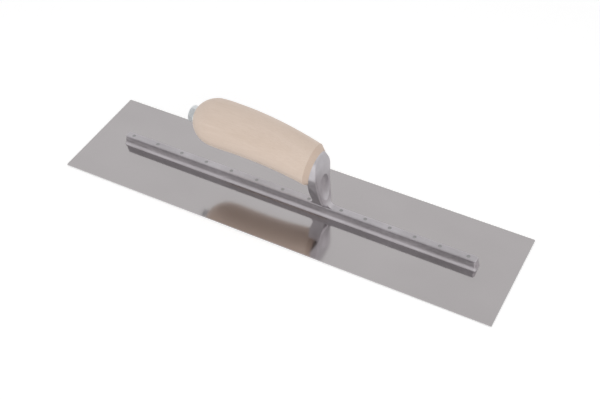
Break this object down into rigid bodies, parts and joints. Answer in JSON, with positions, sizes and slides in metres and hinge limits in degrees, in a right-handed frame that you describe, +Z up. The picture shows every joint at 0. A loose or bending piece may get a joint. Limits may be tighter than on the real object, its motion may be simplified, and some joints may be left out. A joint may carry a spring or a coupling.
{
  "type": "finishing trowel",
  "caption": "Rectangular steel finishing trowel: thin flat blade riveted under a long cast mounting, with a curved wooden handle bolted to its shank.",
  "frame": {"origin": "middle of the blade's underside, where the trowel rests", "axes": "+X along the blade towards the toe, the end that the shank leans to; +Z up from the blade to the handle"},
  "size_m": [0.4064, 0.1016, 0.0845],
  "materials": {
    "blade_steel": "fine ground satin steel",
    "cast_aluminium": "tumbled casting with polished edges",
    "rivet_metal": "upset and ground flush",
    "handle_wood": "sanded pale hardwood, unvarnished",
    "zinc_steel": "bright zinc plate"
  },
  "bodies": {
    "root": {"blade": "blade_steel", "mounting_casting": "cast_aluminium", "rivet_01": "rivet_metal", "rivet_02": "rivet_metal", "rivet_03": "rivet_metal", "rivet_04": "rivet_metal", "rivet_05": "rivet_metal", "rivet_06": "rivet_metal", "rivet_07": "rivet_metal", "rivet_08": "rivet_metal", "rivet_09": "rivet_metal", "rivet_10": "rivet_metal", "rivet_11": "rivet_metal", "rivet_12": "rivet_metal", "rivet_13": "rivet_metal", "rivet_14": "rivet_metal", "handle": "handle_wood", "washer": "zinc_steel", "handle_bolt": "zinc_steel"}
  },
  "joints": []
}
